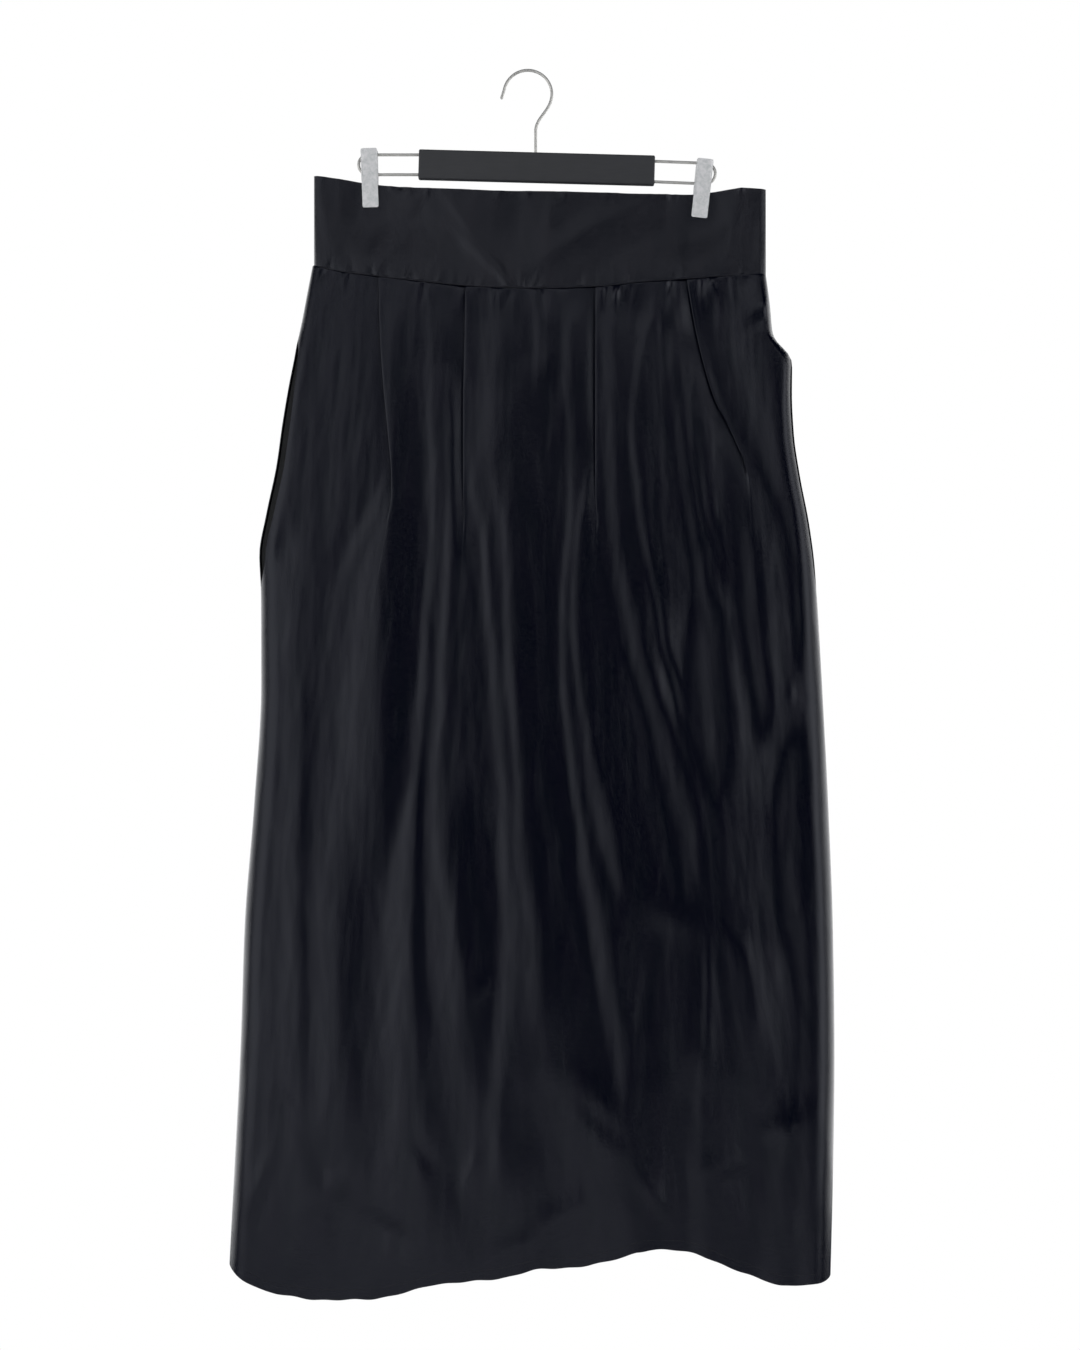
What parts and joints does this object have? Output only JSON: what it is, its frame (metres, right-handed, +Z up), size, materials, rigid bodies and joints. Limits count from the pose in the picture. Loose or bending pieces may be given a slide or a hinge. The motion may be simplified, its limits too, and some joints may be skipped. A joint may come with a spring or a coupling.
{
  "type": "satin maxi skirt on a clip hanger",
  "caption": "Long satin skirt with a wide waistband, knife pleats and side pockets, hanging by its waistband from a clip hanger.",
  "frame": {"origin": "inner top of the hanger's hook, where a rail carries it", "axes": "+Z up, -Y out of the skirt's front, +X to the right of someone who faces the front"},
  "size_m": [0.5598, 0.0912, 1.1314],
  "materials": {
    "satin": "black satin weave with a soft sheen",
    "pocket_cloth": "plain black cotton",
    "zip_tape": "black knitted tape",
    "zip_metal": "black lacquer",
    "hanger_bar": "charcoal, matt",
    "steel": "worn zinc plating"
  },
  "bodies": {
    "skirt_on_hanger": {"waistband_front": "satin", "waistband_back_left": "satin", "waistband_back_right": "satin", "skirt_front": "satin", "skirt_back_left": "satin", "skirt_back_right": "satin", "pocket_left_front_bag": "pocket_cloth", "pocket_left_back_bag": "pocket_cloth", "pocket_right_front_bag": "pocket_cloth", "pocket_right_back_bag": "pocket_cloth", "zip_tapes": "zip_tape", "zip_slider": "zip_metal", "hanger_bar": "hanger_bar", "hanger_hook": "steel", "hanger_wire_left": "steel", "hanger_wire_right": "steel", "clip_left_front_jaw": "steel", "clip_left_back_jaw": "steel", "clip_left_spring": "steel", "clip_right_front_jaw": "steel", "clip_right_back_jaw": "steel", "clip_right_spring": "steel"},
    "zip_tab": {"zip_tab": "zip_metal"}
  },
  "joints": [
    {"name": "zip_tab_swing", "type": "hinge", "parent": "skirt_on_hanger", "child": "zip_tab", "pos_m": [0.01, 0.0154, -0.12169], "axis": [1, 0, 0], "range_deg": [0, 160]}
  ]
}
